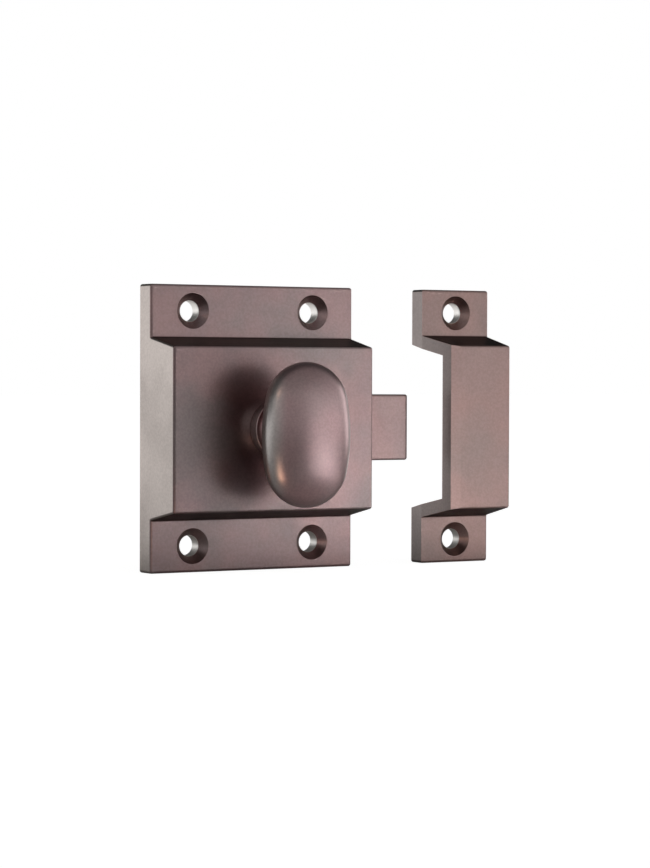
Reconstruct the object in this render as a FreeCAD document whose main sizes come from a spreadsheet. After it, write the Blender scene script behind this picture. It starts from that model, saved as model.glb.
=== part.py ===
import FreeCAD, Part
import Sketcher
import math
import os

# Surface-mounted cupboard latch with an oval turn knob, a spring bolt and a separate box strike.
# Each piece is drawn as it lies on a bench with its back down: x runs towards the strike, y up
# the door and z out of the door, from the middle of the latch's back. It is then stood up, so
# that the door's face is the plane Y = 0 and the knob points along -Y.

DIMENSIONS = (
    # Case
    ("case_width", 41.3, "width of the latch case"),
    ("case_height", 50.8, "height over both ears"),
    ("case_depth", 11.9, "depth of the raised case from the door"),
    ("ear_depth", 3.8, "thickness of the two screw ears"),
    ("shoulder_half", 14.5, "half height of the raised face"),
    ("shoulder_lean", 1.6, "how far each shoulder slopes out to its ear"),
    ("side_draft", 0.6, "how far each side leans in at the raised face"),
    ("root_round", 0.25, "hollow rounding where the shoulders meet the ears"),
    ("edge_round", 0.45, "rounding of the cast outer edges"),
    ("front_wall", 2.5, "thickness of the raised face"),
    ("cavity_half", 12.0, "half height of the hollow inside"),
    # Wood screw holes
    ("screw_across", 24.3, "case screw holes, spacing across"),
    ("screw_hole", 3.7, "diameter of the wood screw holes"),
    ("sink_width", 6.35, "diameter of their countersinks"),
    ("sink_angle", 82, "angle of their countersinks"),
    # Back plate
    ("plate_depth", 1.2, "thickness of the back plate"),
    ("plate_margin", 0.4, "plate left beyond its screws' heads"),
    ("plate_screw_half", 14.3, "plate screws, height from the middle"),
    ("plate_screw_width", 2.0, "diameter of the plate screws"),
    ("plate_screw_head", 3.8, "diameter of their heads"),
    ("plate_screw_angle", 90, "angle of their heads"),
    ("plate_screw_reach", 3.2, "length of the plate screws"),
    # Bolt
    ("bolt_height", 12.0, "height of the bolt head"),
    ("bolt_depth", 5.5, "thickness of the bolt"),
    ("bolt_reach", 10.1, "how far the bolt stands out of the case"),
    ("bolt_throw", 8.0, "how far the knob draws the bolt in"),
    ("bevel_reach", 5.0, "length of the bevel at the back of the bolt's nose"),
    ("nose_depth", 1.7, "thickness left at the bolt's nose"),
    ("nose_round", 0.9, "rounding of the nose's front edge"),
    ("bolt_shoulder", 1.95, "thickness of the shoulders that stop the bolt inside the case"),
    ("pad_height", 3.0, "height of the pad that the cam presses"),
    # Spring
    ("spring_width", 3.5, "outer diameter of the coil spring"),
    ("wire_width", 0.6, "diameter of its wire"),
    ("spring_turns", 9, "turns of the coil spring"),
    ("bore_reach", 8.6, "depth of the spring's bore in the bolt"),
    ("pin_width", 2.5, "diameter of the pin that the spring pushes on"),
    ("pin_seat", 1.5, "how deep the pin is pressed into the raised face"),
    # Knob
    ("knob_height", 25.2, "height of the oval knob"),
    ("knob_width", 16.4, "width of the oval knob"),
    ("knob_end", 7.7, "radius of the oval's two ends"),
    ("knob_depth", 11.2, "thickness of the oval knob"),
    ("knob_reach", 28.4, "height of the knob's face above the door"),
    ("knob_drop", 0.8, "how far the oval hangs below the spindle, so that it rests upright"),
    ("neck_width", 7.6, "diameter of the neck"),
    ("collar_width", 10.2, "diameter of the collar at the case"),
    ("collar_rim", 10.8, "diameter of the collar's front rim"),
    ("collar_depth", 2.8, "thickness of the collar"),
    ("collar_land", 0.2, "flat left on the collar outside the neck's hollow rounding"),
    ("spindle_width", 6.4, "diameter of the spindle in the case"),
    ("square_width", 4.4, "width across the spindle's square"),
    # Cam
    ("knob_turn", 70, "angle that the knob turns to draw the bolt"),
    ("hub_width", 8.4, "diameter of the cam's hub"),
    ("cam_depth", 4.0, "thickness of the cam's finger and heel"),
    ("cam_start", 0.8, "offset of the finger's flank when at rest"),
    ("heel_reach", 4.6, "reach of the heel that stops the cam at rest"),
    ("heel_height", 3.4, "height of the heel"),
    ("washer_depth", 0.6, "thickness of the thrust washer"),
    ("cam_screw_width", 2.5, "diameter of the cam screw"),
    ("cam_screw_head", 5.4, "diameter of its head"),
    ("cam_screw_rise", 1.0, "thickness of its head"),
    ("cam_screw_reach", 5.0, "length of the cam screw under its head"),
    ("slot_width", 0.55, "width of the driver slots"),
    ("slot_depth", 0.5, "depth of the driver slots"),
    # Strike
    ("strike_left", 35.8, "where the strike begins, across from the latch's middle"),
    ("strike_width", 14.8, "width of the strike"),
    ("strike_depth", 11.5, "depth of the strike's housing from the door"),
    ("strike_ear", 3.5, "thickness of the strike's ears"),
    ("strike_shoulder_half", 15.0, "half height of the strike's face"),
    ("strike_lean", 1.8, "how far the housing slopes out to each ear"),
    ("strike_inside", 8.9, "depth of the strike's hollow"),
    ("strike_wall", 2.4, "thickness of the housing's walls"),
    ("strike_inset", 1.5, "how far the housing's mouth stands back from the ears"),
    ("ramp_width", 1.95, "width of the ramp along the mouth"),
    ("ramp_drop", 0.35, "drop of the ramp at the mouth"),
    ("strike_draft", 0.5, "how far the far side leans in at the face"),
    # Clearances
    ("running_gap", 0.05, "gap round the turning spindle"),
    ("sliding_gap", 0.15, "gap round the sliding bolt and the fitted plate"),
    ("working_gap", 0.4, "gap between pieces that pass each other"),
)

# Places that several pieces share, as formulas of the sheet.
CASE_SIDE = "dim.case_width / 2"
ROOT_HALF = "(dim.shoulder_half + dim.shoulder_lean)"
HOLE_UP = "(dim.case_height / 4 + %s / 2)" % ROOT_HALF
CAVITY_FRONT = "(dim.case_depth - dim.front_wall)"
BOLT_BACK = "(dim.plate_depth + 2 * dim.sliding_gap)"
BOLT_FRONT = "(dim.plate_depth + 2 * dim.sliding_gap + dim.bolt_depth)"
BOLT_MIDDLE = "(dim.plate_depth + 2 * dim.sliding_gap + dim.bolt_depth / 2)"
BOLT_TIP = "(dim.case_width / 2 + dim.bolt_reach)"
PIN_PLACE = "(dim.hub_width / 2 + dim.working_gap + dim.pin_width / 2)"
SPRING_START = "(dim.hub_width / 2 + dim.working_gap + dim.pin_width)"
HEAD_BACK = "(dim.hub_width / 2 + 2 * dim.working_gap + dim.pin_width + dim.bolt_throw)"
BORE_END = "(%s + dim.bore_reach)" % HEAD_BACK
CAVITY_END = "(%s + dim.bolt_shoulder + dim.sliding_gap)" % HEAD_BACK
PLATE_END = "(dim.case_width / 4 + %s / 2)" % CAVITY_END
PLATE_HALF = "(dim.plate_screw_half + dim.plate_screw_head / 2 + dim.plate_margin)"
CAM_LIFT = "(dim.bolt_throw / (dim.knob_turn * pi / 180))"
CAM_FRONT = "(dim.case_depth - dim.front_wall - dim.washer_depth - dim.running_gap)"
CAM_BACK = "(dim.plate_depth + dim.working_gap + dim.cam_screw_rise)"
COLLAR_BACK = "(dim.case_depth + dim.running_gap)"
COLLAR_FRONT = "(dim.case_depth + dim.running_gap + dim.collar_depth)"
NECK_FLARE = "(dim.collar_rim / 2 - dim.neck_width / 2 - dim.collar_land)"
KNOB_MIDDLE = "(dim.knob_reach - dim.knob_depth / 2)"
KNOB_FLATNESS = "(dim.knob_depth / dim.knob_width)"
STRIKE_END = "(dim.strike_left + dim.strike_width)"
STRIKE_ROOT = "(dim.strike_shoulder_half + dim.strike_lean)"
STRIKE_HOLE_UP = "(dim.case_height / 4 + %s / 2)" % STRIKE_ROOT

STAND_UP = FreeCAD.Placement(FreeCAD.Vector(0, 0, 0), FreeCAD.Rotation(FreeCAD.Vector(1, 0, 0), 90))
NEAR = 1e-4

doc = FreeCAD.newDocument("cupboard_latch")
sheet = doc.addObject("Spreadsheet::Sheet", "dim")
for row, (alias, number, words) in enumerate(DIMENSIONS, start=1):
    sheet.set("A%d" % row, words)
    sheet.set("B%d" % row, str(number))
    sheet.setAlias("B%d" % row, alias)
doc.recompute()


def value(formula):
    """The number that a formula of the sheet gives."""
    return float(sheet.evalExpression(formula))


def new_body(label):
    """An empty body, stood up on the door."""
    body = doc.addObject("PartDesign::Body", label)
    body.Label = label
    body.Placement = STAND_UP
    return body


def own_plane(body, role):
    """One of the body's own origin planes."""
    return next(item for item in body.Origin.OriginFeatures if item.Role == role)


def new_sketch(body, name, role, lift=None):
    """A sketch on one of the body's own planes, or lifted off it along its normal."""
    sketch = body.newObject("Sketcher::SketchObject", name)
    sketch.AttachmentSupport = [(own_plane(body, role), "")]
    sketch.MapMode = "FlatFace"
    if lift:
        sketch.setExpression("AttachmentOffset.Base.z", lift)
    return sketch


def bind(sketch, constraint, formula):
    """Add a dimension to a sketch and tie it to the sheet."""
    index = sketch.addConstraint(constraint)
    sketch.setExpression("Constraints[%d]" % index, formula)


def hold(sketch, item, end, across, up):
    """Hold one point of a sketch at its distances from the sketch's origin."""
    bind(sketch, Sketcher.Constraint("DistanceX", -1, 1, item, end, value(across)), across)
    bind(sketch, Sketcher.Constraint("DistanceY", -1, 1, item, end, value(up)), up)


def draw_outline(sketch, corners):
    """A closed outline of straight lines through its corners."""
    first = sketch.GeometryCount
    points = [FreeCAD.Vector(value(across), value(up), 0) for across, up in corners]
    for start, end in zip(points, points[1:] + points[:1]):
        sketch.addGeometry(Part.LineSegment(start, end), False)
    for index, (across, up) in enumerate(corners):
        following = first + (index + 1) % len(corners)
        sketch.addConstraint(Sketcher.Constraint("Coincident", first + index, 2, following, 1))
        hold(sketch, first + index, 1, across, up)


def draw_rectangle(sketch, left, right, low, high):
    """An upright rectangle between two sides and two levels."""
    draw_outline(sketch, ((left, low), (right, low), (right, high), (left, high)))


def draw_circle(sketch, across, up, diameter):
    """A circle at its distances from the sketch's origin."""
    centre = FreeCAD.Vector(value(across), value(up), 0)
    item = sketch.addGeometry(Part.Circle(centre, FreeCAD.Vector(0, 0, 1), value(diameter) / 2), False)
    hold(sketch, item, 3, across, up)
    bind(sketch, Sketcher.Constraint("Diameter", item, value(diameter)), diameter)


def draw_hollow_outline(sketch, corners, radius):
    """A closed outline of straight lines whose last corner is joined to its first by a hollow quarter arc."""
    points = [FreeCAD.Vector(value(across), value(up), 0) for across, up in corners]
    for start, end in zip(points, points[1:]):
        sketch.addGeometry(Part.LineSegment(start, end), False)
    last = len(points) - 1
    centre = FreeCAD.Vector(points[-1].x, points[0].y, 0)
    circle = Part.Circle(centre, FreeCAD.Vector(0, 0, 1), value(radius))
    sketch.addGeometry(Part.ArcOfCircle(circle, math.pi, 3 * math.pi / 2), False)
    for index, (across, up) in enumerate(corners[:-1]):
        hold(sketch, index, 1, across, up)
    for index in range(last - 1):
        sketch.addConstraint(Sketcher.Constraint("Coincident", index, 2, index + 1, 1))
    hold(sketch, last - 1, 2, *corners[-1])
    sketch.addConstraint(Sketcher.Constraint("Coincident", last, 1, 0, 1))
    sketch.addConstraint(Sketcher.Constraint("Coincident", last, 2, last - 1, 2))
    bind(sketch, Sketcher.Constraint("Radius", last, value(radius)), radius)


def draw_half_oval(sketch, width, height, end, up):
    """Right half of an upright oval: two ends of one radius, a flatter side that touches them, the axis."""
    rise = "(%s / 2 - %s)" % (height, end)
    side = "((%s ^ 2 / 4 + %s ^ 2 - %s ^ 2) / (%s - 2 * %s))" % (width, rise, end, width, end)
    lift, reach, middle = value(rise), value(side) - value(width) / 2, value(up)
    swing = math.atan2(lift, reach)
    axis = FreeCAD.Vector(0, 0, 1)
    arcs = (
        (FreeCAD.Vector(0, middle - lift, 0), end, -math.pi / 2, -swing),
        (FreeCAD.Vector(-reach, middle, 0), side, -swing, swing),
        (FreeCAD.Vector(0, middle + lift, 0), end, swing, math.pi / 2),
    )
    for index, (centre, radius, start, stop) in enumerate(arcs):
        circle = Part.Circle(centre, axis, value(radius))
        sketch.addGeometry(Part.ArcOfCircle(circle, start, stop), False)
        bind(sketch, Sketcher.Constraint("Radius", index, value(radius)), radius)
    top, low = (FreeCAD.Vector(0, middle + way * value(height) / 2, 0) for way in (1, -1))
    sketch.addGeometry(Part.LineSegment(top, low), False)
    for one, other in ((0, 1), (1, 2)):
        sketch.addConstraint(Sketcher.Constraint("Tangent", one, 2, other, 1))
    for one, other in ((2, 3), (3, 0)):
        sketch.addConstraint(Sketcher.Constraint("Coincident", one, 2, other, 1))
        sketch.addConstraint(Sketcher.Constraint("PointOnObject", other, 1, -2))
    hold(sketch, 0, 3, "0", "%s - %s" % (up, rise))
    hold(sketch, 2, 3, "0", "%s + %s" % (up, rise))


def mirrored(corners):
    """The same corners on the other side of the sketch's upright axis."""
    return tuple(("-(%s)" % across, up) for across, up in corners)


def pad(body, name, sketch, length, symmetric=False):
    """Raise a sketch along its normal, or to both sides of it."""
    feature = body.newObject("PartDesign::Pad", name)
    feature.Profile = sketch
    feature.setExpression("Length", length)
    if symmetric:
        feature.SideType = "Symmetric"
    doc.recompute()
    return feature


def pocket(body, name, sketch, length, symmetric=False):
    """Cut a sketch along its normal, or to both sides of it, and make sure that it cuts."""
    before = body.Tip.Shape.Volume
    feature = body.newObject("PartDesign::Pocket", name)
    feature.Profile = sketch
    feature.setExpression("Length", length)
    if symmetric:
        feature.SideType = "Symmetric"
    else:
        feature.Reversed = True
    doc.recompute()
    if feature.Shape.Volume >= before:
        raise RuntimeError("%s cuts nothing" % name)
    return feature


def turn(body, name, sketch, kind="PartDesign::Revolution"):
    """Turn a sketch once round its own upright axis, to add or to cut."""
    feature = body.newObject(kind, name)
    feature.Profile = sketch
    feature.ReferenceAxis = (sketch, ["V_Axis"])
    feature.Angle = 360
    doc.recompute()
    return feature


def drill(body, name, sketch, diameter, head, angle):
    """Countersunk holes right through, at every circle of a sketch."""
    doc.recompute()
    feature = body.newObject("PartDesign::Hole", name)
    feature.Profile = sketch
    feature.ThreadType = "None"
    feature.setExpression("Diameter", diameter)
    feature.HoleCutType = "Countersink"
    feature.HoleCutCustomValues = True
    feature.setExpression("HoleCutDiameter", head)
    feature.setExpression("HoleCutCountersinkAngle", angle)
    feature.DepthType = "ThroughAll"
    doc.recompute()
    return feature


def round_edges(body, name, radius, wanted):
    """Round the edges of the body that a test picks."""
    base = body.Tip
    names = ["Edge%d" % (i + 1) for i, edge in enumerate(base.Shape.Edges) if wanted(edge)]
    feature = body.newObject("PartDesign::Fillet", name)
    feature.Base = (base, names)
    feature.setExpression("Radius", radius)
    doc.recompute()
    return feature


def level(edge, axis, place):
    """Whether every corner of an edge lies at one place along x, y or z."""
    return all(abs(getattr(corner.Point, axis) - place) < NEAR for corner in edge.Vertexes)


def build_case():
    """Cast case: ears, raised hollow box with sloped shoulders, notch for the bolt."""
    body = new_body("latch_case")
    side = new_sketch(body, "case_side_view", "YZ_Plane")
    half = (
        ("dim.case_height / 2", "0"),
        ("dim.case_height / 2", "dim.ear_depth"),
        (ROOT_HALF, "dim.ear_depth"),
        ("dim.shoulder_half", "dim.case_depth"),
    )
    draw_outline(side, half + mirrored(half)[::-1])
    pad(body, "case_block", side, "dim.case_width", symmetric=True)

    lean = new_sketch(body, "case_lean", "XZ_Plane")
    for mirror in (tuple, mirrored):
        draw_outline(lean, mirror((
            (CASE_SIDE, "0"),
            (CASE_SIDE + " + dim.side_draft", "0"),
            (CASE_SIDE + " + dim.side_draft", "dim.case_depth"),
            (CASE_SIDE + " - dim.side_draft", "dim.case_depth"),
        )))
    pocket(body, "case_drafted", lean, "2 * dim.case_height", symmetric=True)

    root, ear, front = value(ROOT_HALF), value("dim.ear_depth"), value("dim.case_depth")
    round_edges(body, "case_roots", "dim.root_round",
                lambda edge: level(edge, "z", ear) and (level(edge, "y", root) or level(edge, "y", -root)))
    top, side = value("dim.case_height / 2"), value(CASE_SIDE)
    slope = value("dim.side_draft / dim.case_depth")
    round_edges(body, "case_edges", "dim.edge_round",
                lambda edge: not level(edge, "z", 0) and (
                    level(edge, "z", front)
                    or level(edge, "y", top) or level(edge, "y", -top)
                    or all(abs(abs(end.X) + slope * end.Z - side) < NEAR for end in edge.Vertexes)))

    hollow = new_sketch(body, "case_hollow", "XY_Plane")
    draw_rectangle(hollow, "-" + CAVITY_END, CAVITY_END, "-dim.cavity_half", "dim.cavity_half")
    pocket(body, "case_cavity", hollow, CAVITY_FRONT)
    seat = new_sketch(body, "plate_seat", "XY_Plane")
    across = PLATE_END + " + dim.sliding_gap"
    up = PLATE_HALF + " + dim.sliding_gap"
    draw_rectangle(seat, "-(%s)" % across, across, "-(%s)" % up, up)
    pocket(body, "plate_recess", seat, "dim.plate_depth")
    notch = new_sketch(body, "bolt_notch", "YZ_Plane")
    slack = "dim.bolt_height / 2 + dim.sliding_gap"
    draw_rectangle(notch, "-(%s)" % slack, slack, "0", BOLT_FRONT + " + dim.sliding_gap")
    pocket(body, "bolt_opening", notch, "dim.case_width")

    spindle = new_sketch(body, "spindle_hole", "XY_Plane")
    draw_circle(spindle, "0", "0", "dim.spindle_width + 2 * dim.running_gap")
    pocket(body, "spindle_bearing", spindle, "2 * dim.case_depth")
    pin = new_sketch(body, "pin_hole", "XY_Plane")
    draw_circle(pin, PIN_PLACE, "0", "dim.pin_width")
    pocket(body, "pin_socket", pin, CAVITY_FRONT + " + dim.pin_seat")
    taps = new_sketch(body, "plate_taps", "XY_Plane")
    for place in ("dim.plate_screw_half", "-dim.plate_screw_half"):
        draw_circle(taps, "0", place, "dim.plate_screw_width")
    pocket(body, "plate_tap_holes", taps, "dim.plate_screw_reach + dim.sliding_gap")

    holes = new_sketch(body, "wood_screw_places", "XY_Plane", "dim.ear_depth")
    for across in ("-dim.screw_across / 2", "dim.screw_across / 2"):
        for up in ("-" + HOLE_UP, HOLE_UP):
            draw_circle(holes, across, up, "dim.screw_hole")
    drill(body, "wood_screw_holes", holes, "dim.screw_hole", "dim.sink_width", "dim.sink_angle")
    return body


def build_back_plate():
    """Thin plate in the case's back, countersunk for its two screws."""
    body = new_body("back_plate")
    outline = new_sketch(body, "plate_outline", "XY_Plane")
    draw_rectangle(outline, "-" + PLATE_END, PLATE_END, "-" + PLATE_HALF, PLATE_HALF)
    pad(body, "plate_sheet", outline, "dim.plate_depth")
    places = new_sketch(body, "plate_screw_places", "XY_Plane")
    for up in ("dim.plate_screw_half", "-dim.plate_screw_half"):
        draw_circle(places, "0", up, "dim.plate_screw_width + 2 * dim.running_gap")
    holes = drill(body, "plate_screw_holes", places, "dim.plate_screw_width + 2 * dim.running_gap",
                  "dim.plate_screw_head + 2 * dim.running_gap", "dim.plate_screw_angle")
    holes.Reversed = True
    doc.recompute()
    return body


def build_back_plate_screws():
    """Two slotted countersunk screws, flush with the back plate."""
    body = new_body("back_plate_screws")
    body.AllowCompound = True
    half = new_sketch(body, "plate_screw_half_view", "XZ_Plane", "-dim.plate_screw_half")
    cone = "(dim.plate_screw_head - dim.plate_screw_width) / 2 / tan(dim.plate_screw_angle / 2)"
    draw_outline(half, (
        ("0", "0"),
        ("dim.plate_screw_head / 2", "0"),
        ("dim.plate_screw_width / 2", cone),
        ("dim.plate_screw_width / 2", "dim.plate_screw_reach"),
        ("0", "dim.plate_screw_reach"),
    ))
    turned = turn(body, "plate_screw_turned", half)
    slot = new_sketch(body, "plate_screw_slot", "XY_Plane")
    draw_rectangle(slot, "-dim.plate_screw_head", "dim.plate_screw_head",
                   "dim.plate_screw_half - dim.slot_width / 2", "dim.plate_screw_half + dim.slot_width / 2")
    cut = pocket(body, "plate_screw_slotted", slot, "dim.slot_depth")
    pair = body.newObject("PartDesign::Mirrored", "plate_screw_pair")
    pair.Originals = [turned, cut]
    pair.MirrorPlane = (own_plane(body, "XZ_Plane"), [""])
    body.Tip = pair
    return body


def build_bolt():
    """Spring bolt: bevelled head with the spring's bore, shoulders and a hooked tail."""
    body = new_body("latch_bolt")
    outline = new_sketch(body, "bolt_outline", "XY_Plane", BOLT_BACK)
    shoulder = CAVITY_END + " - dim.sliding_gap"
    bar = "-(dim.heel_reach + dim.sliding_gap)"
    tail_end = "-(%s - dim.bolt_throw - dim.working_gap)" % CAVITY_END
    arm_top = "dim.cavity_half - 2 * dim.sliding_gap"
    arm_low = "sqrt(dim.heel_reach ^ 2 + dim.heel_height ^ 2) + dim.working_gap"
    pad_face = "-(dim.cam_start + dim.sliding_gap)"
    pad_low = "-(%s + dim.pad_height / 2)" % CAM_LIFT
    pad_high = "-(%s - dim.pad_height / 2)" % CAM_LIFT
    head_half = "dim.bolt_height / 2"
    draw_outline(outline, (
        (BOLT_TIP, head_half),
        (shoulder, head_half),
        (shoulder, arm_top),
        (tail_end, arm_top),
        (tail_end, pad_low),
        (pad_face, pad_low),
        (pad_face, pad_high),
        (bar, pad_high),
        (bar, arm_low),
        (HEAD_BACK, arm_low),
        (HEAD_BACK, pad_low),
        (shoulder, pad_low),
        (shoulder, "-" + head_half),
        (BOLT_TIP, "-" + head_half),
    ))
    pad(body, "bolt_casting", outline, "dim.bolt_depth")

    bevel = new_sketch(body, "bolt_bevel", "XZ_Plane")
    draw_outline(bevel, (
        (BOLT_TIP + " - dim.bevel_reach", BOLT_BACK),
        (BOLT_TIP + " + dim.bevel_reach", BOLT_BACK),
        (BOLT_TIP + " + dim.bevel_reach", BOLT_FRONT + " - dim.nose_depth"),
        (BOLT_TIP, BOLT_FRONT + " - dim.nose_depth"),
    ))
    pocket(body, "bolt_bevelled", bevel, "2 * dim.bolt_height", symmetric=True)
    bore = new_sketch(body, "spring_bore", "YZ_Plane")
    draw_circle(bore, "0", BOLT_MIDDLE, "dim.spring_width + 2 * dim.sliding_gap")
    pocket(body, "spring_bored", bore, BORE_END)

    tip, front, half = value(BOLT_TIP), value(BOLT_FRONT), value(head_half)
    round_edges(body, "bolt_nose", "dim.nose_round",
                lambda edge: level(edge, "x", tip) and level(edge, "z", front))
    side = value(CASE_SIDE)
    round_edges(body, "bolt_edges", "dim.edge_round",
                lambda edge: level(edge, "z", front) and edge.BoundBox.XMax > side
                and (level(edge, "y", half) or level(edge, "y", -half)))
    return body


def build_spring():
    """Coil spring between the fixed pin and the bottom of the bolt's bore."""
    length = value(BORE_END) - value(SPRING_START) - 2 * value("dim.running_gap")
    wire = value("dim.wire_width")
    mean = (value("dim.spring_width") - wire) / 2
    turns = value("dim.spring_turns")
    rise = length - wire
    coil = Part.makeHelix(rise / turns, rise, mean)
    section = Part.Wire(Part.makeCircle(wire / 2, FreeCAD.Vector(mean, 0, 0), FreeCAD.Vector(0, 1, 0)))
    sweep = Part.BRepOffsetAPI.MakePipeShell(Part.Wire(coil.Edges))
    sweep.setFrenetMode(True)
    sweep.add(section)
    sweep.build()
    sweep.makeSolid()
    start = value(SPRING_START) + value("dim.running_gap") + wire / 2
    lie = FreeCAD.Placement(FreeCAD.Vector(start, 0, value(BOLT_MIDDLE)),
                            FreeCAD.Rotation(FreeCAD.Vector(0, 1, 0), 90))
    spring = doc.addObject("Part::Feature", "bolt_spring")
    spring.Label = "bolt_spring"
    spring.Shape = sweep.shape()
    spring.Placement = STAND_UP.multiply(lie)
    return spring


def build_spring_pin():
    """Fixed pin, pressed into the raised face from inside."""
    body = new_body("spring_pin")
    circle = new_sketch(body, "pin_section", "XY_Plane", BOLT_BACK)
    draw_circle(circle, PIN_PLACE, "0", "dim.pin_width")
    pad(body, "pin_rod", circle, "%s + dim.pin_seat - %s" % (CAVITY_FRONT, BOLT_BACK))
    return body


def build_knob():
    """Oval knob: an egg turned about its long axis and flattened to the knob's depth."""
    egg = doc.addObject("PartDesign::Body", "knob_egg")
    half = new_sketch(egg, "egg_half_view", "XY_Plane", "%s / %s" % (KNOB_MIDDLE, KNOB_FLATNESS))
    draw_half_oval(half, "dim.knob_width", "dim.knob_height", "dim.knob_end", "-dim.knob_drop")
    turn(egg, "egg_turned", half)
    flat = doc.addObject("Part::Scale", "knob_flattened")
    flat.Base = egg
    flat.Uniform = False
    flat.setExpression("ZScale", KNOB_FLATNESS)
    doc.recompute()
    body = new_body("knob")
    body.BaseFeature = flat
    doc.recompute()
    return body


def build_knob_neck(body):
    """Neck, collar and spindle, turned in one with the knob, and the square for the cam."""
    half = new_sketch(body, "neck_half_view", "XZ_Plane")
    foot = ("dim.neck_width / 2 + " + NECK_FLARE, COLLAR_FRONT)
    rise = ("dim.neck_width / 2", COLLAR_FRONT + " + " + NECK_FLARE)
    corners = (
        rise,
        ("dim.neck_width / 2", KNOB_MIDDLE),
        ("0", KNOB_MIDDLE),
        ("0", CAM_FRONT),
        ("dim.spindle_width / 2", CAM_FRONT),
        ("dim.spindle_width / 2", COLLAR_BACK),
        ("dim.collar_width / 2", COLLAR_BACK),
        ("dim.collar_rim / 2", COLLAR_FRONT),
        foot,
    )
    draw_hollow_outline(half, corners, NECK_FLARE)
    turn(body, "neck_turned", half)
    square = new_sketch(body, "spindle_square", "XY_Plane", CAM_BACK + " + dim.running_gap")
    side = "dim.square_width / 2"
    draw_rectangle(square, "-" + side, side, "-" + side, side)
    pad(body, "spindle_squared", square, "%s - %s - dim.running_gap" % (CAM_FRONT, CAM_BACK))
    tap = new_sketch(body, "cam_screw_tap", "XY_Plane")
    draw_circle(tap, "0", "0", "dim.cam_screw_width")
    pocket(body, "cam_screw_hole", tap, CAM_BACK + " + dim.cam_screw_reach + dim.working_gap")
    return body


def build_cam():
    """Lifting cam: a hub on the square, a finger whose flank rolls the bolt back evenly, a heel."""
    body = new_body("cam")
    hub = new_sketch(body, "hub_outline", "XY_Plane", CAM_BACK)
    draw_circle(hub, "0", "0", "dim.hub_width")
    pad(body, "cam_hub", hub, "%s - %s" % (CAM_FRONT, CAM_BACK))

    finger = new_sketch(body, "finger_outline", "XY_Plane", CAM_BACK)
    shares = ("0", "1 / 2", "1")
    flank = []
    for share in shares:
        reach = "(dim.cam_start + dim.bolt_throw * %s)" % share
        angle = "(dim.knob_turn * %s)" % share
        flank.append((
            "%s * sin(%s) - %s * cos(%s)" % (CAM_LIFT, angle, reach, angle),
            "-%s * cos(%s) - %s * sin(%s)" % (CAM_LIFT, angle, reach, angle),
        ))
    start, middle, end = [FreeCAD.Vector(value(across), value(up), 0) for across, up in flank]
    root = ("-dim.cam_start", "0")
    back = ("dim.hub_width / 2", "0")
    point = ("dim.hub_width / 2", flank[2][1])
    corners = [FreeCAD.Vector(value(across), value(up), 0) for across, up in (point, back, root)]
    finger.addGeometry(Part.ArcOfCircle(start, middle, end), False)
    for one, other in zip([end] + corners, corners + [start]):
        finger.addGeometry(Part.LineSegment(one, other), False)
    finger.addGeometry(Part.Point(middle), True)
    turned = finger.Geometry[0].StartPoint.distanceToPoint(start) > NEAR
    flank_start, flank_end = (2, 1) if turned else (1, 2)
    for one, tail, other in ((0, flank_end, 1), (1, 2, 2), (2, 2, 3), (3, 2, 4)):
        finger.addConstraint(Sketcher.Constraint("Coincident", one, tail, other, 1))
    finger.addConstraint(Sketcher.Constraint("Coincident", 4, 2, 0, flank_start))
    finger.addConstraint(Sketcher.Constraint("PointOnObject", 5, 1, 0))
    hold(finger, 4, 2, *flank[0])
    hold(finger, 5, 1, *flank[1])
    hold(finger, 1, 1, *flank[2])
    hold(finger, 2, 1, *point)
    hold(finger, 3, 1, *back)
    hold(finger, 4, 1, *root)
    pad(body, "cam_finger", finger, "dim.cam_depth")

    heel = new_sketch(body, "heel_outline", "XY_Plane", CAM_BACK)
    draw_rectangle(heel, "-dim.heel_reach", "0", "0", "dim.heel_height")
    pad(body, "cam_heel", heel, "dim.cam_depth")
    square = new_sketch(body, "cam_square", "XY_Plane")
    side = "dim.square_width / 2 + dim.running_gap"
    draw_rectangle(square, "-(%s)" % side, side, "-(%s)" % side, side)
    pocket(body, "cam_squared", square, "dim.case_depth")
    return body


def build_washer():
    """Thrust washer between the cam's hub and the case's front wall."""
    body = new_body("thrust_washer")
    ring = new_sketch(body, "washer_ring", "XY_Plane", CAVITY_FRONT + " - dim.washer_depth")
    draw_circle(ring, "0", "0", "dim.hub_width")
    draw_circle(ring, "0", "0", "dim.spindle_width + 2 * dim.running_gap")
    pad(body, "washer_disc", ring, "dim.washer_depth")
    return body


def build_cam_screw():
    """Slotted screw that clamps the cam to the end of the spindle."""
    body = new_body("cam_screw")
    half = new_sketch(body, "cam_screw_half_view", "XZ_Plane")
    low = CAM_BACK + " - dim.cam_screw_rise"
    draw_outline(half, (
        ("0", low),
        ("dim.cam_screw_head / 2", low),
        ("dim.cam_screw_head / 2", CAM_BACK),
        ("dim.cam_screw_width / 2", CAM_BACK),
        ("dim.cam_screw_width / 2", CAM_BACK + " + dim.cam_screw_reach"),
        ("0", CAM_BACK + " + dim.cam_screw_reach"),
    ))
    turn(body, "cam_screw_turned", half)
    slot = new_sketch(body, "cam_screw_slot", "XY_Plane")
    side = "dim.slot_width / 2"
    draw_rectangle(slot, "-dim.cam_screw_head", "dim.cam_screw_head", "-" + side, side)
    pocket(body, "cam_screw_slotted", slot, low + " + dim.slot_depth")
    return body


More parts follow.
